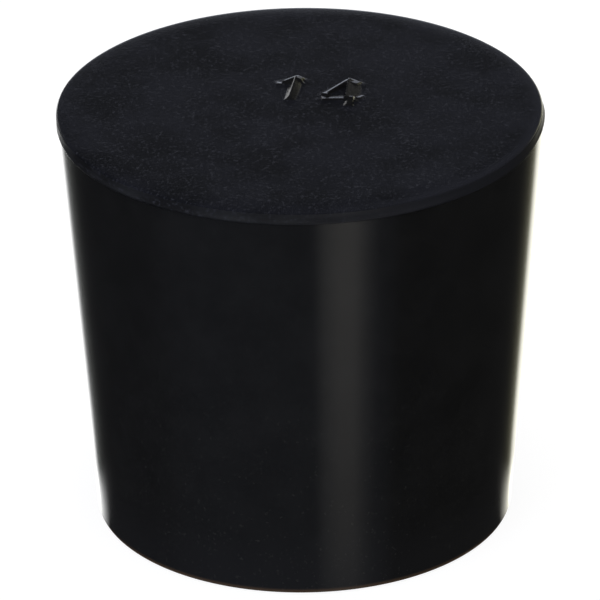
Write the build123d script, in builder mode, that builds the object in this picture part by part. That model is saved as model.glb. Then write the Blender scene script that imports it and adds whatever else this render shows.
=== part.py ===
from build123d import *

import os

# Solid tapered rubber stopper, moulded in one piece and standing on its small end.
# Sizes are in millimetres. The origin is the centre of the small end, and +Z runs up the
# axis to the large end.

# The plug that enters the neck
stopper_height = 40.3
small_end_diameter = 38.8
large_end_diameter = 44.6

# The lip round the large end: a thin straight-sided disc, which the upper half of the mould
# forms, above a bead of trimmed flash that runs round the parting line
lip_height = 1.2
flash_bead_diameter = 0.4

# Edges that the mould leaves slightly rounded
top_edge_round = 0.25
small_end_edge_round = 0.35

small_end_radius = small_end_diameter / 2
large_end_radius = large_end_diameter / 2
parting_height = stopper_height - lip_height


with BuildPart() as stopper:
    with BuildSketch(Plane.XZ) as half_section:
        with BuildLine() as outline:
            Polyline(
                (0, 0),
                (small_end_radius, 0),
                (large_end_radius, parting_height),
                (large_end_radius, stopper_height),
                (0, stopper_height),
                close=True,
            )
        make_face()

        # The two rims are the outer corners of the section's lowest and highest edges. The
        # section is drawn with its own Y axis as the height.
        small_end_rim = half_section.vertices().group_by(Axis.Y)[0].sort_by(Axis.X)[-1]
        fillet(small_end_rim, radius=small_end_edge_round)
        top_rim = half_section.vertices().group_by(Axis.Y)[-1].sort_by(Axis.X)[-1]
        fillet(top_rim, radius=top_edge_round)

        # Half of the bead lies in the rubber, and half stands out at the parting line
        with Locations((large_end_radius, parting_height)):
            Circle(radius=flash_bead_diameter / 2)
    revolve(axis=Axis.Z)

stopper.part.label = "stopper"

os.makedirs("parts", exist_ok=True)
export_step(stopper.part, "parts/stopper.step")
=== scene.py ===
"""Looks of a solid black rubber stopper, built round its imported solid.

The stopper is one compression moulding. A turned steel cavity forms its taper, a flat plate with
the size number cut into it forms the large end, and the flash squeezed out between the two is
trimmed to a low bead along the parting line.
"""

import logging
import math
from collections.abc import Callable
from dataclasses import dataclass
from enum import Enum

import bpy
from mathutils import Matrix, Vector

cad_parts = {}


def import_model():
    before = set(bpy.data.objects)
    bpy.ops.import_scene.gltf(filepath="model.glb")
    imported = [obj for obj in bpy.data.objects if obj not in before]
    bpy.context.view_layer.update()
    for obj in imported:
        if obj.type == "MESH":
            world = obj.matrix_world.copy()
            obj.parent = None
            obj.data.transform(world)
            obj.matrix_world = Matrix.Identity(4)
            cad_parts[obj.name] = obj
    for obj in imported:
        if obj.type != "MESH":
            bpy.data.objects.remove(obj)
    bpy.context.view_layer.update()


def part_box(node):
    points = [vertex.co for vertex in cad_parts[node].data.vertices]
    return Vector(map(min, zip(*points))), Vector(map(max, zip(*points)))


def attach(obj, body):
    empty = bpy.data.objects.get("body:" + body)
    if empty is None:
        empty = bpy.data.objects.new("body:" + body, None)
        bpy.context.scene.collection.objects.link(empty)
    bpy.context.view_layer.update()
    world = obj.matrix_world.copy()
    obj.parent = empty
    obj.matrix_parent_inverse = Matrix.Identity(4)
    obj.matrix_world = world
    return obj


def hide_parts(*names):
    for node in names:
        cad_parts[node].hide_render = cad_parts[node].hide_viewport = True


logger = logging.getLogger("stopper")

MM = 0.001
BODY = "root"
NODE = "stopper"
RUBBER_IOR = 1.52
NONE_TO_ALL = (0.0, 1.0)
WHITE = (1.0, 1.0, 1.0, 1.0)


def hex_to_linear(code: str) -> tuple[float, float, float, float]:
    """Turns an sRGB colour into linear light.

    Args:
        code: The colour as "#rrggbb".

    Returns:
        Red, green and blue in linear light, and an alpha of 1.
    """
    channels = []
    for start in (1, 3, 5):
        value = int(code[start : start + 2], 16) / 255
        low = value <= 0.04045
        channels.append(value / 12.92 if low else ((value + 0.055) / 1.055) ** 2.4)
    return (channels[0], channels[1], channels[2], 1.0)


def add_node(
    tree: bpy.types.NodeTree,
    kind: str,
    sockets: dict[str | int, object] | None = None,
    **settings: object,
) -> bpy.types.Node:
    """Adds one shader node.

    Args:
        tree: The node tree that gets it.
        kind: Blender's name for the kind of node.
        sockets: Its inputs by name or place. An output of another node is linked, and anything
            else is set as the input's value.
        **settings: The node's own attributes.

    Returns:
        The new node.
    """
    node = tree.nodes.new(kind)
    for name, value in settings.items():
        setattr(node, name, value)
    for key, value in (sockets or {}).items():
        if isinstance(value, bpy.types.NodeSocket):
            tree.links.new(value, node.inputs[key])
        else:
            node.inputs[key].default_value = value
    return node


def new_material(name: str) -> tuple[bpy.types.Material, bpy.types.NodeTree]:
    """Makes an empty node material.

    Args:
        name: The finish's name.

    Returns:
        The material and its node tree.
    """
    material = bpy.data.materials.new(name)
    material.use_nodes = True
    material.node_tree.nodes.clear()
    return material, material.node_tree


def deselect_all() -> None:
    """Leaves every object unselected, in object mode."""
    if bpy.context.object and bpy.context.object.mode != "OBJECT":
        bpy.ops.object.mode_set(mode="OBJECT")
    bpy.ops.object.select_all(action="DESELECT")


def make_active(piece: bpy.types.Object) -> None:
    """Selects one object alone and makes it the active one.

    Args:
        piece: The object.
    """
    deselect_all()
    piece.select_set(True)
    bpy.context.view_layer.objects.active = piece


def apply_modifier(piece: bpy.types.Object, kind: str, settings: dict[str, object]) -> None:
    """Adds a modifier to a piece and applies it.

    Args:
        piece: The piece.
        kind: Blender's name for the kind of modifier.
        settings: The modifier's attributes.
    """
    make_active(piece)
    modifier = piece.modifiers.new(kind.lower(), kind)
    for name, value in settings.items():
        setattr(modifier, name, value)
    bpy.ops.object.modifier_apply(modifier=modifier.name)


class Zone(Enum):
    """The surfaces of the moulding that look different, in the order of their material slots."""

    TAPER = 0
    LARGE_END = 1
    FLASH = 2
    SMALL_END = 3


def add_patches(
    tree: bpy.types.NodeTree,
    place: bpy.types.NodeSocket,
    size: float,
    span: tuple[float, float],
    detail: float,
    roughness: float = 0.5,
) -> bpy.types.NodeSocket:
    """Adds a pattern of soft patches, which is a noise of a real size cut to a share.

    Args:
        tree: The node tree that gets it.
        place: The coordinates that it reads.
        size: The patches' size, in metres.
        span: The noise's levels at which the share leaves 0 and reaches 1.
        detail: How many finer levels the noise has.
        roughness: How strong those finer levels are.

    Returns:
        The share, from 0 to 1.
    """
    noise = add_node(
        tree,
        "ShaderNodeTexNoise",
        {"Vector": place, "Scale": 1 / size, "Detail": detail, "Roughness": roughness},
    )
    cut = add_node(
        tree,
        "ShaderNodeMapRange",
        {"Value": noise.outputs["Fac"], "From Min": span[0], "From Max": span[1]},
    )
    return cut.outputs["Result"]


def add_layers(
    tree: bpy.types.NodeTree, base: str, layers: list[tuple[bpy.types.NodeSocket, str]]
) -> bpy.types.NodeSocket:
    """Lays colours over a base colour one after another, each by its own share.

    Args:
        tree: The node tree that gets them.
        base: The lowest colour, in sRGB.
        layers: Pairs of share and sRGB colour, from the lowest up.

    Returns:
        The colour that the eye sees on top.
    """
    colour = hex_to_linear(base)
    for share, code in layers:
        mix = add_node(
            tree,
            "ShaderNodeMix",
            {0: share, 6: colour, 7: hex_to_linear(code)},
            data_type="RGBA",
        )
        colour = mix.outputs[2]
    return colour


@dataclass(frozen=True)
class CavityRubber:
    """Vulcanised natural rubber with carbon black, compression-moulded in a turned steel cavity.

    The turned steel leaves rings too fine to see one by one. They keep the gloss sharp round the
    stopper and draw it out along the axis, so a light shows as one upright streak. The low end
    carries fine grey specks of dust and is painted lighter towards the bottom, as painted light
    from the pale floor, and its edge is rubbed brown.
    """

    name: str = "natural_rubber_turned_cavity"
    colour: str = "#151515"
    worn_colour: str = "#1b1b1b"
    # Painted floor light: the colour that lightens the taper towards the small end
    painted_floor_light_colour: str = "#1d1d1e"
    speck_colour: str = "#3c3c38"
    edge_colour: str = "#5a4735"
    roughness: float = 0.18
    gloss: float = 0.5
    stretch: float = 0.9
    # A quarter turn lays the stretched gloss along the axis
    stretch_turn: float = 0.25
    cloud_size: float = 5 * MM
    cloud_span: tuple[float, float] = (0.35, 0.65)
    cloud_detail: float = 7.0
    cloud_roughness: float = 0.7
    # Real dust is finer, and is drawn this coarse so that it shows
    speck_size: float = 0.3 * MM
    speck_span: tuple[float, float] = (0.62, 0.76)
    speck_detail: float = 2.0
    speck_heights: tuple[float, float] = (30 * MM, 0.0)
    speck_shares: tuple[float, float] = (0.1, 0.45)
    # Heights over which the painted floor light goes from none to full, towards the small end
    painted_floor_light_heights: tuple[float, float] = (8 * MM, 0.0)
    edge_heights: tuple[float, float] = (0.6 * MM, 0.15 * MM)
    ring_spacing: float = 0.35 * MM
    ring_length: float = 125 * MM
    ring_detail: float = 2.0
    ring_strength: float = 0.2
    ring_depth: float = 0.01 * MM

    def make(self) -> bpy.types.Material:
        """Builds the material.

        Returns:
            The material.
        """
        material, tree = new_material(self.name)
        place = add_node(tree, "ShaderNodeTexCoord").outputs["Object"]
        height = add_node(tree, "ShaderNodeSeparateXYZ", {0: place}).outputs["Z"]
        clouds = add_patches(
            tree,
            place,
            self.cloud_size,
            self.cloud_span,
            self.cloud_detail,
            self.cloud_roughness,
        )
        spots = add_patches(tree, place, self.speck_size, self.speck_span, self.speck_detail)
        # The first share is painted floor light, lighter towards the small end; the others are
        # real specks and the rubbed brown edge
        painted_floor_light, speck_share, edge = (
            add_node(
                tree,
                "ShaderNodeMapRange",
                {
                    "Value": height,
                    "From Min": heights[0],
                    "From Max": heights[1],
                    "To Min": shares[0],
                    "To Max": shares[1],
                },
                interpolation_type="SMOOTHSTEP",
            ).outputs["Result"]
            for heights, shares in (
                (self.painted_floor_light_heights, NONE_TO_ALL),
                (self.speck_heights, self.speck_shares),
                (self.edge_heights, NONE_TO_ALL),
            )
        )
        specks = add_node(
            tree, "ShaderNodeMath", {0: spots, 1: speck_share}, operation="MULTIPLY"
        )
        shade = add_layers(
            tree,
            self.colour,
            [
                (clouds, self.worn_colour),
                (painted_floor_light, self.painted_floor_light_colour),
                (specks.outputs[0], self.speck_colour),
                (edge, self.edge_colour),
            ],
        )
        around = 1 / self.ring_length
        rings = add_node(
            tree,
            "ShaderNodeMapping",
            {"Vector": place, "Scale": (around, around, 1 / self.ring_spacing)},
        )
        ring_noise = add_node(
            tree,
            "ShaderNodeTexNoise",
            {"Vector": rings.outputs["Vector"], "Scale": 1.0, "Detail": self.ring_detail},
        )
        bump = add_node(
            tree,
            "ShaderNodeBump",
            {
                "Height": ring_noise.outputs["Fac"],
                "Strength": self.ring_strength,
                "Distance": self.ring_depth,
            },
        )
        tangent = add_node(tree, "ShaderNodeTangent", direction_type="RADIAL", axis="Z")
        shader = add_node(
            tree,
            "ShaderNodeBsdfPrincipled",
            {
                "Base Color": shade,
                "Roughness": self.roughness,
                "IOR": RUBBER_IOR,
                "Specular IOR Level": self.gloss,
                "Anisotropic": self.stretch,
                "Anisotropic Rotation": self.stretch_turn,
                "Tangent": tangent.outputs["Tangent"],
                "Normal": bump.outputs["Normal"],
            },
        )
        add_node(tree, "ShaderNodeOutputMaterial", {"Surface": shader.outputs["BSDF"]})
        return material


@dataclass(frozen=True)
class PlateRubber:
    """The same rubber, moulded against a flat blasted plate and dulled by sulphur bloom.

    The eye sees a soft dark grey with faint clouds, a scatter of fine specks and no clear
    reflection. Whatever stands above the face was moulded against smoother cut metal and has been
    rubbed, so it is cleaner and glossier. The rim is painted paler towards the right, a painted
    highlight along the top edge.
    """

    name: str = "natural_rubber_bloomed_plate"
    colour: str = "#101115"
    bloom_colour: str = "#191a20"
    speck_colour: str = "#2d2e34"
    # Painted highlight: the lighter colour of the rim towards the right
    painted_rim_highlight_colour: str = "#202127"
    relief_colour: str = "#131314"
    roughness: float = 0.22
    relief_roughness: float = 0.19
    gloss: float = 0.5
    face_height: float = 0.0
    relief_start: float = 0.03 * MM
    relief_reach: float = 0.12 * MM
    rim_inside: float = 21.0 * MM
    rim_outside: float = 22.2 * MM
    # Where the rim's painted highlight starts and becomes full, from left to right
    highlight_from: float = -2 * MM
    highlight_to: float = 12 * MM
    cloud_size: float = 6 * MM
    cloud_span: tuple[float, float] = (0.4, 0.6)
    cloud_detail: float = 5.0
    cloud_roughness: float = 0.6
    # Real bloom is finer, and is drawn this coarse so that it shows
    speck_size: float = 0.3 * MM
    speck_span: tuple[float, float] = (0.55, 0.74)
    speck_detail: float = 2.0
    grain_size: float = 0.25 * MM
    grain_detail: float = 3.0
    grain_strength: float = 0.6
    grain_height: float = 0.012 * MM

    def make(self) -> bpy.types.Material:
        """Builds the material.

        Returns:
            The material.
        """
        material, tree = new_material(self.name)
        place = add_node(tree, "ShaderNodeTexCoord").outputs["Object"]
        sides = add_node(tree, "ShaderNodeSeparateXYZ", {0: place})
        clouds = add_patches(
            tree,
            place,
            self.cloud_size,
            self.cloud_span,
            self.cloud_detail,
            self.cloud_roughness,
        )
        specks = add_patches(tree, place, self.speck_size, self.speck_span, self.speck_detail)
        level = add_node(
            tree, "ShaderNodeVectorMath", {0: place, 1: (1.0, 1.0, 0.0)}, operation="MULTIPLY"
        )
        across = add_node(
            tree, "ShaderNodeVectorMath", {0: level.outputs["Vector"]}, operation="LENGTH"
        )
        rim = add_node(
            tree,
            "ShaderNodeMapRange",
            {
                "Value": across.outputs["Value"],
                "From Min": self.rim_inside,
                "From Max": self.rim_outside,
            },
            interpolation_type="SMOOTHSTEP",
        )
        # Painted highlight: the rim is painted lighter towards the right
        rim_highlight = add_node(
            tree,
            "ShaderNodeMapRange",
            {
                "Value": sides.outputs["X"],
                "From Min": self.highlight_from,
                "From Max": self.highlight_to,
                "To Max": rim.outputs["Result"],
            },
        )
        relief = add_node(
            tree,
            "ShaderNodeMapRange",
            {
                "Value": sides.outputs["Z"],
                "From Min": self.face_height + self.relief_start,
                "From Max": self.face_height + self.relief_reach,
            },
            interpolation_type="SMOOTHSTEP",
        )
        shade = add_layers(
            tree,
            self.colour,
            [
                (clouds, self.bloom_colour),
                (specks, self.speck_colour),
                (rim_highlight.outputs["Result"], self.painted_rim_highlight_colour),
                (relief.outputs["Result"], self.relief_colour),
            ],
        )
        polish = add_node(
            tree,
            "ShaderNodeMapRange",
            {
                "Value": relief.outputs["Result"],
                "To Min": self.roughness,
                "To Max": self.relief_roughness,
            },
        )
        grain = add_node(
            tree,
            "ShaderNodeTexNoise",
            {"Vector": place, "Scale": 1 / self.grain_size, "Detail": self.grain_detail},
        )
        bump = add_node(
            tree,
            "ShaderNodeBump",
            {
                "Height": grain.outputs["Fac"],
                "Strength": self.grain_strength,
                "Distance": self.grain_height,
            },
        )
        shader = add_node(
            tree,
            "ShaderNodeBsdfPrincipled",
            {
                "Base Color": shade,
                "Roughness": polish.outputs["Result"],
                "IOR": RUBBER_IOR,
                "Specular IOR Level": self.gloss,
                "Normal": bump.outputs["Normal"],
            },
        )
        add_node(tree, "ShaderNodeOutputMaterial", {"Surface": shader.outputs["BSDF"]})
        return material



@dataclass
class Section:
    """The stopper's turned section, as rings of (radius, height) from the small end up.

    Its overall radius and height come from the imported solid.
    """

    radius: float
    height: float
    small_end_radius: float = 19.4 * MM
    lip_height: float = 1.08 * MM
    bead_radius: float = 0.2 * MM
    bead_turn: float = math.radians(28)
    small_end_round: float = 0.35 * MM
    top_round: float = 0.25 * MM
    margin: float = 2.2 * MM
    margin_drop: float = 0.09 * MM
    # The hollow above the bead ends this many top rounds below the top edge
    flare_clearance: float = 1.1
    corner_steps: int = 5
    margin_steps: int = 8
    bead_steps: int = 8
    flare_steps: int = 8
    taper_steps: int = 12

    @property
    def wall_radius(self) -> float:
        """Radius of the lip's wall, which is also the large end of the taper."""
        return self.radius - self.bead_radius

    @property
    def parting_height(self) -> float:
        """Height of the parting line."""
        return self.height - self.lip_height

    @property
    def taper_angle(self) -> float:
        """Angle between the taper's side and the axis."""
        return math.atan2(self.wall_radius - self.small_end_radius, self.parting_height)

    def corner(
        self, centre: tuple[float, float], radius: float, start: float, end: float, steps: int
    ) -> list[tuple[float, float]]:
        """Points along an arc of the section.

        Args:
            centre: The arc's centre, as (radius, height).
            radius: The arc's radius.
            start: Where it starts, in radians above the outward direction.
            end: Where it ends, likewise.
            steps: Number of stretches.

        Returns:
            The arc's points, both ends included.
        """
        angles = [start + (end - start) * i / steps for i in range(steps + 1)]
        return [
            (centre[0] + radius * math.cos(a), centre[1] + radius * math.sin(a)) for a in angles
        ]

    def flare(self, foot: tuple[float, float]) -> list[tuple[float, float]]:
        """Points of the hollow curve in which the bead runs out into the lip's wall.

        Args:
            foot: The bead's last point, as (radius, height).

        Returns:
            The points above it, up to the rounded top edge.
        """
        proud = foot[0] - self.wall_radius
        fall = proud / math.tan(self.bead_turn)
        end = self.height - self.margin_drop - self.top_round * self.flare_clearance
        points = []
        for i in range(1, self.flare_steps + 1):
            height = foot[1] + (end - foot[1]) * i / self.flare_steps
            left = math.exp((foot[1] - height) / fall)
            points.append((self.wall_radius + proud * left * (1 - i / self.flare_steps), height))
        return points

    def rings(self) -> list[tuple[float, float]]:
        """Works out all rings.

        Returns:
            The rings, from the small end's flat face to the large end's.
        """
        slope = self.taper_angle
        inset = self.small_end_round * math.tan((math.pi / 2 + slope) / 2)
        low_centre = (self.small_end_radius - inset, self.small_end_round)
        low = self.corner(
            low_centre, self.small_end_round, -math.pi / 2, -slope, self.corner_steps
        )
        bead_centre = (self.wall_radius, self.parting_height)
        bead = self.corner(
            bead_centre,
            self.bead_radius,
            -math.pi / 2 - slope,
            self.bead_turn,
            self.bead_steps,
        )
        bead += self.flare(bead[-1])
        droop = math.atan2(2 * self.margin_drop, self.margin)
        top_centre = (
            self.wall_radius - self.top_round,
            self.height - self.margin_drop - self.top_round * math.cos(droop),
        )
        top = self.corner(top_centre, self.top_round, 0.0, math.pi / 2 - droop, self.corner_steps)
        margin_end = top[-1][0]
        for i in range(1, self.margin_steps + 1):
            share = 1 - i / self.margin_steps
            top.append(
                (margin_end - self.margin * (1 - share), self.height - self.margin_drop * share**2)
            )
        side_low = low[-1]
        side_high = bead[0]
        side = [
            (
                side_low[0] + (side_high[0] - side_low[0]) * i / self.taper_steps,
                side_low[1] + (side_high[1] - side_low[1]) * i / self.taper_steps,
            )
            for i in range(1, self.taper_steps)
        ]
        return low + side + bead + top


@dataclass(frozen=True)
class Stretch:
    """A stretch of the rim, where something is at its fullest in the middle and fades out.

    Directions are in degrees round the axis from the front, positive to the right.
    """

    centre: float
    half_width: float
    share: float = 1.0
    firmness: float = 1.0

    def weight(self, place: Vector) -> float:
        """Gives how far a place belongs to the stretch.

        Args:
            place: The place that is asked about.

        Returns:
            A share, which is 0 outside the stretch.
        """
        turn = math.degrees(math.atan2(place.x, -place.y)) - self.centre
        turn = abs((turn + 180) % 360 - 180)
        if turn >= self.half_width:
            return 0.0
        fade = 0.5 + 0.5 * math.cos(math.pi * turn / self.half_width)
        return self.share * min(self.firmness * fade, 1.0)


def follow(line: tuple[tuple[float, float], ...], place: float) -> float:
    """Reads a height off a line of (place, height) corners, and 0 beyond its two ends.

    Args:
        line: The corners, with rising places.
        place: Where the height is wanted.

    Returns:
        The height.
    """
    for (x, low), (next_x, high) in zip(line, line[1:]):
        if x <= place <= next_x:
            return low + (high - low) * (place - x) / (next_x - x)
    return 0.0


@dataclass(frozen=True)
class Stroke:
    """One raised stroke of the size number. All its measures are in millimetres on the face.

    Seen from its start to its end, places across it are positive on its left.
    """

    start: tuple[float, float]
    end: tuple[float, float]
    across: tuple[tuple[float, float], ...]
    before: tuple[tuple[float, float], ...]
    beyond: tuple[tuple[float, float], ...]
    fade: float = 0.0
    sink: float = 0.0
    skew: float = 0.0

    def rise(self, place: tuple[float, float]) -> float:
        """Gives the stroke's height above the face.

        Args:
            place: The place on the face.

        Returns:
            The lower of its height across and its height along.
        """
        run = (self.end[0] - self.start[0], self.end[1] - self.start[1])
        length = math.hypot(*run)
        step = (place[0] - self.start[0], place[1] - self.start[1])
        along = (step[0] * run[0] + step[1] * run[1]) / length
        aside = (run[0] * step[1] - run[1] * step[0]) / length
        share = min(max(along / length, 0.0), 1.0)
        height = follow(self.across, aside) * (1 - self.fade * share) - self.sink * share
        if along < 0:
            return min(height, follow(self.before, -along))
        over = along - length - self.skew * aside
        return min(height, follow(self.beyond, over)) if over > 0 else height

    def distance(self, place: tuple[float, float]) -> float:
        """Gives the distance of a place from the stroke's middle line.

        Args:
            place: The place on the face.

        Returns:
            The distance in millimetres.
        """
        run = (self.end[0] - self.start[0], self.end[1] - self.start[1])
        step = (place[0] - self.start[0], place[1] - self.start[1])
        share = (step[0] * run[0] + step[1] * run[1]) / (run[0] ** 2 + run[1] ** 2)
        share = min(max(share, 0.0), 1.0)
        return math.hypot(step[0] - share * run[0], step[1] - share * run[1])


@dataclass
class SizeNumber:
    """The plain size number 14, raised on the large end.

    Its strokes were cut into the mould's plate by hand with a graver, so each is a ridge of flat
    facets, and a low swelling surrounds them all.
    """

    face_height: float
    root: float = 0.4 * MM
    sunk: float = 0.03 * MM
    spacing: float = 0.055 * MM
    centre: tuple[float, float] = (1.8, 2.25)
    size: tuple[float, float] = (11.4, 9.4)
    swelling: float = 0.08
    swelling_reach: float = 1.4
    softening_rounds: int = 2
    softening: float = 0.5
    strokes: tuple[Stroke, ...] = (
        Stroke(
            (-0.33, 5.36),
            (-0.92, 1.66),
            across=((-0.5, 0.0), (-0.03, 0.52), (0.03, 0.54), (0.72, 0.0)),
            before=((0.0, 0.54), (0.3, 0.49), (0.42, 0.0)),
            beyond=((0.0, 0.33), (0.35, 0.2), (0.55, 0.0)),
            fade=0.4,
        ),
        Stroke(
            (-0.13, 5.56),
            (0.3, 5.38),
            across=((-0.75, 0.0), (-0.45, 0.55), (0.35, 0.39), (0.42, 0.0)),
            before=((0.0, 0.55), (0.2, 0.4), (0.3, 0.0)),
            beyond=((0.0, 0.45), (0.12, 0.0)),
            sink=0.14,
        ),
        Stroke(
            (-0.28, 5.7),
            (-1.4, 5.1),
            across=((-0.32, 0.0), (-0.24, 0.37), (0.12, 0.47), (1.3, 0.0)),
            before=((0.0, 0.47), (0.2, 0.35), (0.3, 0.0)),
            beyond=((0.0, 0.3), (0.12, 0.0)),
            sink=0.2,
        ),
        Stroke(
            (-1.62, 4.9),
            (-1.85, 4.93),
            across=((-0.5, 0.0), (0.28, 0.16), (0.32, 0.0)),
            before=((0.0, 0.16), (0.08, 0.0)),
            beyond=((0.0, 0.16), (0.1, 0.12), (0.4, 0.0)),
        ),
        Stroke(
            (4.52, 4.66),
            (2.4, 2.28),
            across=((-0.38, 0.0), (-0.3, 0.41), (0.1, 0.53), (0.36, 0.0)),
            before=((0.0, 0.53), (0.2, 0.0)),
            beyond=((0.0, 0.4), (0.12, 0.0)),
            sink=0.25,
        ),
        Stroke(
            (2.48, 2.34),
            (2.28, 2.14),
            across=((-0.42, 0.0), (-0.36, 0.18), (0.36, 0.34), (0.42, 0.0)),
            before=((0.0, 0.34), (0.2, 0.0)),
            beyond=((0.0, 0.34), (0.14, 0.0)),
        ),
        Stroke(
            (4.2, 1.3),
            (2.1, 1.3),
            across=((-1.35, 0.0), (-1.2, 0.02), (0.25, 0.23), (0.3, 0.04), (0.5, 0.0)),
            before=((0.0, 0.3), (0.2, 0.0)),
            beyond=((0.0, 0.25), (0.1, 0.0)),
        ),
        Stroke(
            (5.45, 1.5),
            (5.0, 1.56),
            across=((-0.75, 0.0), (0.22, 0.18), (0.27, 0.0)),
            before=((0.0, 0.18), (0.1, 0.14), (0.45, 0.0)),
            beyond=((0.0, 0.18), (0.4, 0.1), (0.6, 0.0)),
        ),
        Stroke(
            (4.2, 1.15),
            (4.52, 4.6),
            across=((-1.35, 0.0), (-0.04, 0.52), (0.04, 0.54), (0.2, 0.0)),
            before=((0.0, 0.54), (0.3, 0.42), (0.4, 0.0)),
            beyond=((0.0, 0.54), (0.5, 0.46), (0.6, 0.0)),
            skew=0.55,
        ),
        Stroke(
            (4.62, 4.82),
            (5.5, 4.42),
            across=((-1.2, 0.0), (-0.55, 0.52), (0.45, 0.33), (0.52, 0.0)),
            before=((0.0, 0.52), (0.3, 0.3)),
            beyond=((0.0, 0.4), (0.12, 0.0)),
            sink=0.17,
        ),
        Stroke(
            (4.46, 1.1),
            (4.36, -0.12),
            across=((-0.44, 0.0), (-0.02, 0.42), (0.02, 0.42), (0.5, 0.38), (0.54, 0.0)),
            before=((0.0, 0.42), (0.3, 0.3)),
            beyond=((0.0, 0.42), (0.15, 0.0)),
            fade=0.35,
        ),
    )

    def rise(self, place: tuple[float, float]) -> float:
        """Gives the number's height above the face in millimetres.

        Args:
            place: The place on the face, in millimetres.

        Returns:
            The height of its highest stroke there, or of the low swelling round the strokes.
        """
        nearest = min(stroke.distance(place) for stroke in self.strokes)
        share = max(1 - nearest / self.swelling_reach, 0.0)
        swell = self.swelling * share**2 * (3 - 2 * share) - self.sunk / MM
        return max(swell, *(stroke.rise(place) for stroke in self.strokes))

    def build(self) -> bpy.types.Object:
        """Models the number as one closed block whose upper side carries the strokes.

        Returns:
            The number, which reaches a little way into the rubber.
        """
        width, depth = self.size[0] * MM, self.size[1] * MM
        deselect_all()
        bpy.ops.mesh.primitive_grid_add(
            x_subdivisions=round(width / self.spacing),
            y_subdivisions=round(depth / self.spacing),
            size=1.0,
            location=(0, 0, 0),
        )
        number = bpy.context.object
        number.name = "size_number"
        for vertex in number.data.vertices:
            place = (
                self.centre[0] + vertex.co.x * self.size[0],
                self.centre[1] + vertex.co.y * self.size[1],
            )
            height = self.face_height + self.rise(place) * MM
            vertex.co = (place[0] * MM, place[1] * MM, height)
        apply_modifier(
            number,
            "SMOOTH",
            {
                "factor": self.softening,
                "iterations": self.softening_rounds,
                "use_x": False,
                "use_y": False,
            },
        )
        bpy.ops.object.mode_set(mode="EDIT")
        bpy.ops.mesh.select_all(action="SELECT")
        bpy.ops.mesh.extrude_region_move(TRANSFORM_OT_translate={"value": (0, 0, -self.root)})
        bpy.ops.transform.resize(
            value=(1, 1, 0), center_override=(0, 0, self.face_height - self.root)
        )
        bpy.ops.mesh.select_all(action="SELECT")
        bpy.ops.mesh.normals_make_consistent(inside=False)
        bpy.ops.object.mode_set(mode="OBJECT")
        return number


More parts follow.
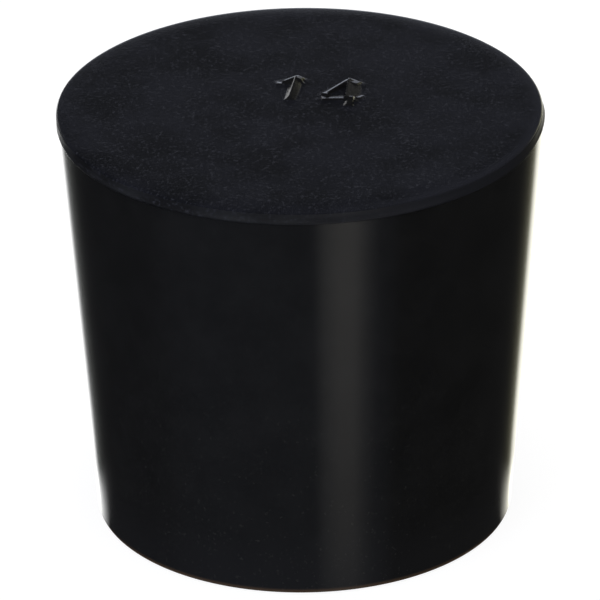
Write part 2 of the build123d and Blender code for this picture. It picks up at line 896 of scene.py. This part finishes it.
@dataclass
class Stopper:
    """The whole moulding: turned body, trimmed flash and size number in one closed mesh."""

    section: Section
    number: SizeNumber
    segments: int = 512
    cavity_finish: CavityRubber = CavityRubber()
    trimmed: tuple[Stretch, ...] = (
        Stretch(centre=58.0, half_width=36.0, share=0.9, firmness=1.8),
        Stretch(centre=-96.0, half_width=40.0, share=0.9, firmness=2.0),
        Stretch(centre=180.0, half_width=60.0, share=0.5),
    )
    spread: Stretch = Stretch(centre=-97.0, half_width=38.0)
    edge_spread: float = 0.03 * MM
    # The spread part of the top edge, in top rounds down and inwards
    edge_depth: float = 2.4
    edge_width: float = 0.5
    flash_wave: float = 0.12 * MM
    flash_wave_length: float = 1.6 * MM
    flash_wave_middle: float = 0.6
    wall_allowance: float = 0.02 * MM
    facing_down: float = -0.9
    crease_angle: float = math.radians(35)
    crease_weight: int = 100

    @property
    def plate_finish(self) -> PlateRubber:
        """Gives the finish of both flat ends and of the size number."""
        return PlateRubber(face_height=self.section.height)

    @property
    def flash_finish(self) -> PlateRubber:
        """Gives the finish of the lip's wall and of the bead left where the flash was cut off.

        Returns:
            The finish.
        """
        return PlateRubber(
            name="natural_rubber_trimmed_flash",
            colour="#161618",
            bloom_colour="#222325",
            roughness=0.45,
            face_height=self.section.height,
        )

    def build_body(self) -> bpy.types.Object:
        """Draws the turned body up ring by ring from a disc.

        Returns:
            The closed body.
        """
        rings = self.section.rings()
        first_radius, first_height = rings[0]
        deselect_all()
        bpy.ops.mesh.primitive_circle_add(
            vertices=self.segments,
            radius=first_radius,
            fill_type="NGON",
            location=(0, 0, first_height),
        )
        body = bpy.context.object
        body.name = "moulded_stopper"
        bpy.ops.object.transform_apply(location=True, rotation=True, scale=True)
        bpy.ops.object.mode_set(mode="EDIT")
        bpy.ops.mesh.select_mode(type="EDGE")
        bpy.ops.mesh.select_all(action="SELECT")
        radius, height = first_radius, first_height
        for next_radius, next_height in rings[1:]:
            rise = next_height - height
            bpy.ops.mesh.extrude_edges_move(TRANSFORM_OT_translate={"value": (0, 0, rise)})
            share = next_radius / radius
            bpy.ops.transform.resize(
                value=(share, share, 1.0), center_override=(0, 0, next_height)
            )
            radius, height = next_radius, next_height
        bpy.ops.mesh.edge_face_add()
        bpy.ops.mesh.select_all(action="SELECT")
        bpy.ops.mesh.normals_make_consistent(inside=False)
        bpy.ops.object.mode_set(mode="OBJECT")
        return body

    def weigh(
        self, piece: bpy.types.Object, name: str, rule: Callable[[Vector], float]
    ) -> None:
        """Makes a vertex group and weighs every vertex by a rule on its place.

        Args:
            piece: The piece.
            name: The group's name.
            rule: Gives a vertex's weight from its place.
        """
        group = piece.vertex_groups.new(name=name)
        for vertex in piece.data.vertices:
            weight = rule(vertex.co)
            if weight > 0:
                group.add([vertex.index], weight, "REPLACE")

    def proud(self, place: Vector) -> bool:
        """Tells whether a place stands out of the lip's wall, on the bead or its flare."""
        beside = math.hypot(place.x, place.y) - self.section.wall_radius
        return beside > 0 and place.z > self.section.parting_height - self.section.bead_radius

    def trimming(self, place: Vector) -> float:
        """Gives the share of the flash that the trimming knife took off in one direction."""
        return max(stretch.weight(place) for stretch in self.trimmed)

    def on_top_edge(self, place: Vector) -> bool:
        """Tells whether a place is on the outer part of the lip's top edge.

        Args:
            place: The place.

        Returns:
            Whether it is high enough and far enough out.
        """
        section = self.section
        low = section.height - self.edge_depth * section.top_round
        inside = section.wall_radius - self.edge_width * section.top_round
        return place.z > low and math.hypot(place.x, place.y) > inside

    def wear_flash(self, body: bpy.types.Object) -> None:
        """Trims the flash closer in some stretches and leaves the rest uneven.

        Args:
            body: The turned body, which is changed.
        """
        self.weigh(body, "trimmed", lambda place: self.proud(place) * self.trimming(place))
        apply_modifier(
            body,
            "CAST",
            {
                "cast_type": "CYLINDER",
                "use_z": False,
                "use_radius_as_size": False,
                "size": self.section.wall_radius,
                "factor": 1.0,
                "vertex_group": "trimmed",
            },
        )
        self.weigh(
            body,
            "spread",
            lambda place: self.on_top_edge(place) * self.spread.weight(place),
        )
        apply_modifier(
            body,
            "DISPLACE",
            {"strength": self.edge_spread, "mid_level": 0.0, "vertex_group": "spread"},
        )
        waves = bpy.data.textures.new("flash_waves", "CLOUDS")
        waves.noise_scale = self.flash_wave_length
        self.weigh(
            body,
            "bead",
            lambda place: self.proud(place)
            * max(math.hypot(place.x, place.y) - self.section.wall_radius, 0.0)
            / self.section.bead_radius,
        )
        apply_modifier(
            body,
            "DISPLACE",
            {
                "strength": self.flash_wave,
                "mid_level": self.flash_wave_middle,
                "texture": waves,
                "texture_coords": "LOCAL",
                "vertex_group": "bead",
            },
        )

    def zone_of(self, centre: Vector, normal: Vector) -> Zone:
        """Tells which surface of the moulding a face belongs to.

        Args:
            centre: The face's centre.
            normal: The face's normal.

        Returns:
            The zone.
        """
        section = self.section
        across = math.hypot(centre.x, centre.y)
        above = centre.z > section.parting_height - section.bead_radius
        if above and across > section.wall_radius - self.wall_allowance:
            return Zone.FLASH
        if centre.z > section.parting_height:
            return Zone.LARGE_END
        if normal.z < self.facing_down:
            return Zone.SMALL_END
        return Zone.TAPER

    def dress(self, piece: bpy.types.Object) -> None:
        """Gives every face its finish.

        Args:
            piece: The moulding.
        """
        finishes = {
            Zone.TAPER: self.cavity_finish.make(),
            Zone.LARGE_END: self.plate_finish.make(),
            Zone.FLASH: self.flash_finish.make(),
        }
        finishes[Zone.SMALL_END] = finishes[Zone.LARGE_END]
        piece.data.materials.clear()
        for zone in Zone:
            piece.data.materials.append(finishes[zone])
        for polygon in piece.data.polygons:
            polygon.material_index = self.zone_of(polygon.center, polygon.normal).value

    def build(self) -> bpy.types.Object:
        """Models and dresses the stopper.

        Returns:
            The finished piece.
        """
        body = self.build_body()
        self.wear_flash(body)
        number = self.number.build()
        apply_modifier(
            body, "BOOLEAN", {"operation": "UNION", "object": number, "solver": "EXACT"}
        )
        bpy.data.objects.remove(number)
        make_active(body)
        bpy.ops.object.shade_smooth_by_angle(angle=self.crease_angle)
        apply_modifier(
            body, "WEIGHTED_NORMAL", {"keep_sharp": True, "weight": self.crease_weight}
        )
        self.dress(body)
        return body


def fill_ramp(
    node: bpy.types.Node, stops: list[tuple[float, tuple[float, float, float, float]]]
) -> None:
    """Sets the stops of a colour ramp.

    Args:
        node: The ramp's node.
        stops: Pairs of place and linear colour.
    """
    ramp = node.color_ramp
    for share, colour in stops[1:-1]:
        ramp.elements.new(share).color = colour
    ramp.elements[0].position, ramp.elements[0].color = stops[0]
    ramp.elements[-1].position, ramp.elements[-1].color = stops[-1]


def make_glow(
    name: str,
    across: tuple[tuple[float, str], ...],
    along: tuple[tuple[float, float], ...],
    brightness: float,
) -> bpy.types.Material:
    """Builds the glow of a card, which changes across and along it.

    Args:
        name: The material's name.
        across: Stops of share and sRGB colour, from one side to the other.
        along: Stops of share and level, from the foot to the far end.
        brightness: The glow's strength where the colour is white and the level 1.

    Returns:
        The material.
    """
    material, tree = new_material(name)
    place = add_node(tree, "ShaderNodeUVMap", uv_map="UVMap").outputs["UV"]
    sides = add_node(tree, "ShaderNodeSeparateXYZ", {0: place})
    colours = add_node(tree, "ShaderNodeValToRGB", {0: sides.outputs["X"]})
    fill_ramp(colours, [(share, hex_to_linear(code)) for share, code in across])
    levels = add_node(tree, "ShaderNodeValToRGB", {0: sides.outputs["Y"]})
    fill_ramp(levels, [(share, (level, level, level, 1.0)) for share, level in along])
    strength = add_node(
        tree, "ShaderNodeMath", {0: levels.outputs["Color"], 1: brightness}, operation="MULTIPLY"
    )
    glow = add_node(
        tree,
        "ShaderNodeEmission",
        {"Color": colours.outputs["Color"], "Strength": strength.outputs[0]},
    )
    clear = add_node(tree, "ShaderNodeBsdfTransparent")
    both = add_node(tree, "ShaderNodeAddShader", {0: glow.outputs[0], 1: clear.outputs[0]})
    add_node(tree, "ShaderNodeOutputMaterial", {"Surface": both.outputs[0]})
    return material


@dataclass(frozen=True)
class FloorCard:
    """A glowing patch of the floor that only reflections see.

    It lies between two lines, each the floor's mirror image of an upright line on the taper, so
    every stripe of the card shows as an upright stripe on the stopper. The lines are given in
    degrees round the stopper from the front, positive to the right.
    """

    name: str
    start: float
    end: float
    brightness: float
    across: tuple[tuple[float, str], ...]
    along: tuple[tuple[float, float], ...] = ((0.0, 1.0), (1.0, 1.0))
    reach: float = 900 * MM
    foot_radius: float = 19.4 * MM
    lip_radius: float = 22.3 * MM
    lip_reach: float = 60 * MM
    lift: float = 0.1 * MM
    steps: int = 24

    def point(self, turn: float, run: float) -> Vector:
        """Gives a point of a mirror line on the floor.

        Args:
            turn: The upright line on the taper, in degrees from the front.
            run: How far along the floor its reflection has gone.

        Returns:
            The point.
        """
        angle = math.radians(turn)
        share = min(run / self.lip_reach, 1.0)
        radius = self.foot_radius + (self.lip_radius - self.foot_radius) * share
        foot = Vector((math.sin(angle), -math.cos(angle), 0)) * radius
        away = Vector((math.sin(2 * angle), -math.cos(2 * angle), 0)) * run
        return foot + away + Vector((0, 0, self.lift))

    def lay(self) -> bpy.types.Object:
        """Lays the card.

        Returns:
            The card.
        """
        deselect_all()
        bpy.ops.mesh.primitive_grid_add(
            x_subdivisions=self.steps, y_subdivisions=self.steps, size=1.0, location=(0, 0, 0)
        )
        card = bpy.context.object
        card.name = self.name
        for vertex in card.data.vertices:
            across, along = vertex.co.x + 0.5, vertex.co.y + 0.5
            run = self.reach * along
            near_side, far_side = self.point(self.start, run), self.point(self.end, run)
            vertex.co = near_side.lerp(far_side, across)
        glow = make_glow(self.name, self.across, self.along, self.brightness)
        card.data.materials.append(glow)
        hide_from_all_but_gloss(card)
        return card


def hide_from_all_but_gloss(card: bpy.types.Object) -> None:
    """Lets only reflections see a card.

    Args:
        card: The card.
    """
    card.visible_camera = False
    card.visible_diffuse = False
    card.visible_shadow = False


@dataclass(frozen=True)
class BackCard:
    """A glowing card that stands behind the stopper and that only reflections see.

    Its sides are given in degrees round the stopper from straight behind, positive to the right.
    """

    name: str
    start: float
    end: float
    height: float
    brightness: float
    across: tuple[tuple[float, str], ...]
    up: tuple[tuple[float, float], ...] = (
        (0.0, 1.0),
        (0.3, 0.9),
        (0.6, 0.5),
        (0.85, 0.15),
        (1.0, 0.0),
    )
    distance: float = 0.9

    def stand(self) -> bpy.types.Object:
        """Stands the card on the floor.

        Returns:
            The card.
        """
        left = math.tan(math.radians(self.start)) * self.distance
        right = math.tan(math.radians(self.end)) * self.distance
        deselect_all()
        bpy.ops.mesh.primitive_plane_add(
            size=1.0,
            location=((left + right) / 2, self.distance, self.height / 2),
            rotation=(math.radians(90), 0, 0),
        )
        card = bpy.context.object
        card.name = self.name
        card.scale = (right - left, self.height, 1.0)
        glow = make_glow(self.name, self.across, self.up, self.brightness)
        card.data.materials.append(glow)
        hide_from_all_but_gloss(card)
        return card


def split_by_ray(
    tree: bpy.types.NodeTree,
    seen: bpy.types.Node,
    reflected: bpy.types.Node,
    bounced: bpy.types.Node,
) -> bpy.types.NodeSocket:
    """Gives the eye, the reflections and all other light each a shader of its own.

    Args:
        tree: The node tree that gets the split.
        seen: What the camera sees.
        reflected: What the gloss sees.
        bounced: What any other light meets.

    Returns:
        The split's output.
    """
    path = add_node(tree, "ShaderNodeLightPath")
    under = bounced.outputs[0]
    for ray, shader in (("Is Glossy Ray", reflected), ("Is Camera Ray", seen)):
        mix = add_node(
            tree, "ShaderNodeMixShader", {0: path.outputs[ray], 1: under, 2: shader.outputs[0]}
        )
        under = mix.outputs[0]
    return under


@dataclass(frozen=True)
class Softbox:
    """A square lamp that hangs round the stopper and faces it.

    Its directions are in degrees: the azimuth from the camera's side and positive to the right,
    the elevation above the horizon. Where it is for the gloss alone, it lights nothing, and
    otherwise the gloss doesn't show it.
    """

    name: str
    azimuth: float
    elevation: float
    width: float
    power: float
    colour: str = "#ffffff"
    gloss_only: bool = False
    distance: float = 0.9

    def hang(self, target: Vector) -> bpy.types.Object:
        """Hangs the lamp.

        Args:
            target: The place that it faces.

        Returns:
            The lamp.
        """
        turn, rise = math.radians(self.azimuth), math.radians(self.elevation)
        back = Vector(
            (math.sin(turn) * math.cos(rise), -math.cos(turn) * math.cos(rise), math.sin(rise))
        )
        data = bpy.data.lights.new(self.name, "AREA")
        data.shape = "RECTANGLE"
        data.size, data.size_y = self.width, self.width
        data.energy = self.power
        data.color = hex_to_linear(self.colour)[:3]
        lamp = bpy.data.objects.new(self.name, data)
        lamp.location = target + back * self.distance
        lamp.rotation_mode = "QUATERNION"
        lamp.rotation_quaternion = (-back).to_track_quat("-Z", "Y")
        lamp.visible_glossy = self.gloss_only
        lamp.visible_diffuse = not self.gloss_only
        bpy.context.scene.collection.objects.link(lamp)
        return lamp


@dataclass
class Studio:
    """A pale floor, soft lamps, glowing cards for the gloss, and the camera."""

    height: float
    radius: float
    focal_length: float = 448.61
    sensor: float = 36.0
    pitch: float = math.radians(26.48)
    roll: float = -0.0127
    distance: float = 31.242
    shift_right: float = 0.0188
    shift_up: float = -0.8137
    clip_start: float = 0.01
    clip_end: float = 20.0
    floor_half_width: float = 3.0
    floor_colour: tuple[float, float, float, float] = (0.25, 0.25, 0.25, 1.0)
    floor_glow: float = 0.85
    bounce_colour: tuple[float, float, float, float] = (0.3, 0.3, 0.3, 1.0)
    dark_room: float = 0.02
    fill: float = 0.6
    lamps: tuple[Softbox, ...] = (
        Softbox("overhead", azimuth=0.0, elevation=76.0, width=1.2, power=4.0),
        Softbox("ceiling", azimuth=0.0, elevation=76.0, width=1.2, power=0.7, gloss_only=True),
        Softbox(
            "front_left", azimuth=-52.0, elevation=18.0, width=0.8, power=2.6, colour="#c4d2ff"
        ),
    )
    back_cards: tuple[BackCard, ...] = (
        BackCard(
            "back_middle",
            start=-18.0,
            end=18.0,
            height=0.27,
            brightness=1.2,
            across=((0.0, "#000000"), (0.2, "#eaf0ff"), (0.8, "#eaf0ff"), (1.0, "#000000")),
            up=((0.0, 1.0), (0.65, 0.9), (0.85, 0.4), (1.0, 0.0)),
        ),
        BackCard(
            "back_left",
            start=-38.0,
            end=-11.0,
            height=0.36,
            brightness=1.5,
            across=((0.0, "#000000"), (0.3, "#ffffff"), (0.74, "#ffffff"), (1.0, "#000000")),
        ),
        BackCard(
            "back_right",
            start=11.0,
            end=50.0,
            height=0.38,
            brightness=1.9,
            across=(
                (0.0, "#000000"),
                (0.14, "#fffdf0"),
                (0.4, "#fffad8"),
                (0.72, "#e6e4bc"),
                (1.0, "#000000"),
            ),
        ),
    )
    cards: tuple[FloorCard, ...] = (
        FloorCard(
            "card_behind_right",
            start=90.0,
            end=66.0,
            brightness=2.0,
            across=(
                (0.0, "#fffdf0"),
                (0.46, "#fffdf0"),
                (0.52, "#6c6a4c"),
                (0.60, "#4a4834"),
                (0.74, "#2a2920"),
                (0.87, "#121210"),
                (1.0, "#000000"),
            ),
            # Dimmer right at the stopper's foot: painted shade of the stopper on the floor
            along=((0.0, 0.7), (0.02, 1.0), (1.0, 1.0)),
        ),
        FloorCard(
            "card_behind_left",
            start=-90.0,
            end=-66.0,
            brightness=2.6,
            across=(
                (0.0, "#ffffff"),
                (0.44, "#ffffff"),
                (0.50, "#60625f"),
                (0.64, "#3b3d3b"),
                (0.82, "#141514"),
                (1.0, "#000000"),
            ),
            # Dimmer right at the stopper's foot: painted shade of the stopper on the floor
            along=((0.0, 0.7), (0.02, 1.0), (1.0, 1.0)),
        ),
        FloorCard(
            "card_behind_middle",
            start=-90.0,
            end=90.0,
            brightness=1.6,
            across=((0.0, "#ffffff"), (1.0, "#ffffff")),
        ),
        FloorCard(
            "card_front",
            start=1.0,
            end=21.0,
            brightness=0.53,
            across=(
                (0.0, "#000000"),
                (0.10, "#3a3a3c"),
                (0.25, "#cfcdc8"),
                (0.42, "#fffaf2"),
                (0.60, "#fffaf2"),
                (0.76, "#a8a6a4"),
                (0.92, "#303032"),
                (1.0, "#000000"),
            ),
            # The card is dimmer near the stopper's foot: a painted shadow of the stopper on the
            # floor
            along=((0.0, 0.27), (0.05, 0.43), (0.17, 0.64), (0.3, 0.8), (0.42, 1.0), (1.0, 1.0)),
            reach=150 * MM,
        ),
        FloorCard(
            "card_front_dim",
            start=-46.0,
            end=25.0,
            brightness=0.1,
            across=(
                (0.0, "#000000"),
                (0.2, "#4a4a50"),
                (0.4, "#b0b8cc"),
                (0.7, "#c0c8dc"),
                (0.86, "#b0b8cc"),
                (1.0, "#000000"),
            ),
            lift=0.2 * MM,
        ),
        FloorCard(
            "card_foot_left",
            start=-90.0,
            end=-70.0,
            brightness=2.4,
            across=((0.0, "#ffffff"), (0.6, "#ffffff"), (1.0, "#000000")),
            along=((0.0, 1.0), (0.5, 0.7), (1.0, 0.0)),
            reach=10 * MM,
            lift=0.3 * MM,
        ),
        FloorCard(
            "card_foot_right",
            start=90.0,
            end=70.0,
            brightness=2.0,
            across=((0.0, "#fffdf0"), (0.6, "#fffdf0"), (1.0, "#000000")),
            along=((0.0, 1.0), (0.5, 0.7), (1.0, 0.0)),
            reach=10 * MM,
            lift=0.3 * MM,
        ),
        FloorCard(
            "card_foot_front",
            start=-80.0,
            end=80.0,
            brightness=0.5,
            across=((0.0, "#d8b890"), (0.5, "#c89058"), (1.0, "#d8b890")),
            along=((0.0, 1.0), (0.4, 0.5), (1.0, 0.0)),
            reach=1.8 * MM,
            lift=0.05 * MM,
        ),
    )

    def place_camera(self) -> bpy.types.Object:
        """Stands the camera where the fitted perspective puts it.

        Distances are in lip radii from the centre of the small end.

        Returns:
            The camera.
        """
        forward = Vector((0, math.cos(self.pitch), -math.sin(self.pitch)))
        level = Vector((1, 0, 0))
        upward = Vector((0, math.sin(self.pitch), math.cos(self.pitch)))
        right = math.cos(self.roll) * level + math.sin(self.roll) * upward
        up = -math.sin(self.roll) * level + math.cos(self.roll) * upward
        offset = self.distance * forward + self.shift_right * right + self.shift_up * up
        data = bpy.data.cameras.new("camera")
        data.lens = self.focal_length
        data.sensor_width = self.sensor
        data.clip_start = self.clip_start
        data.clip_end = self.clip_end
        camera = bpy.data.objects.new("camera", data)
        camera.matrix_world = Matrix.Translation(-self.radius * offset) @ Matrix(
            (right, up, -forward)
        ).transposed().to_4x4()
        bpy.context.scene.collection.objects.link(camera)
        bpy.context.scene.camera = camera
        return camera

    def lay_floor(self) -> bpy.types.Object:
        """Lays the pale floor. Reflections see it as a dark table, which keeps the rubber black.

        Returns:
            The floor.
        """
        deselect_all()
        bpy.ops.mesh.primitive_plane_add(size=2 * self.floor_half_width, location=(0, 0, 0))
        floor = bpy.context.object
        floor.name = "floor"
        material, tree = new_material("pale_floor")
        lit = add_node(tree, "ShaderNodeBsdfDiffuse", {"Color": self.floor_colour})
        glow = add_node(tree, "ShaderNodeEmission", {"Strength": self.floor_glow})
        seen = add_node(tree, "ShaderNodeAddShader", {0: lit.outputs[0], 1: glow.outputs[0]})
        bounce = add_node(tree, "ShaderNodeBsdfDiffuse", {"Color": self.bounce_colour})
        dark = add_node(tree, "ShaderNodeEmission", {"Strength": self.dark_room})
        split = split_by_ray(tree, seen, dark, bounce)
        add_node(tree, "ShaderNodeOutputMaterial", {"Surface": split})
        floor.data.materials.append(material)
        return floor

    def light_world(self) -> None:
        """Makes the room: white to the eye, soft for fill light and dark in reflections."""
        world = bpy.data.worlds.new("room")
        bpy.context.scene.world = world
        world.use_nodes = True
        tree = world.node_tree
        tree.nodes.clear()
        fill, dark, backdrop = (
            add_node(tree, "ShaderNodeBackground", {"Color": WHITE, "Strength": strength})
            for strength in (self.fill, self.dark_room, 1.0)
        )
        split = split_by_ray(tree, backdrop, dark, fill)
        add_node(tree, "ShaderNodeOutputWorld", {"Surface": split})

    def build(self) -> None:
        """Sets up the whole studio."""
        self.place_camera()
        self.lay_floor()
        self.light_world()
        for card in self.cards:
            card.lay()
        for back_card in self.back_cards:
            back_card.stand()
        middle = Vector((0, 0, self.height / 2))
        for lamp in self.lamps:
            lamp.hang(middle)
        bpy.context.scene.view_settings.view_transform = "Standard"


def main() -> None:
    """Builds the stopper and its studio."""
    logging.basicConfig(level=logging.INFO, format="%(message)s")
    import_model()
    low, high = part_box(NODE)
    section = Section(radius=(high.x - low.x) / 2, height=high.z)
    stopper = Stopper(section, SizeNumber(face_height=section.height))
    piece = stopper.build()
    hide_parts(NODE)
    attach(piece, BODY)
    logger.info("%s: %d faces", piece.name, len(piece.data.polygons))
    studio = Studio(height=section.height, radius=section.radius)
    studio.build()
    logger.info("studio: %d lamps", len(studio.lamps))


if __name__ == "__main__":
    main()
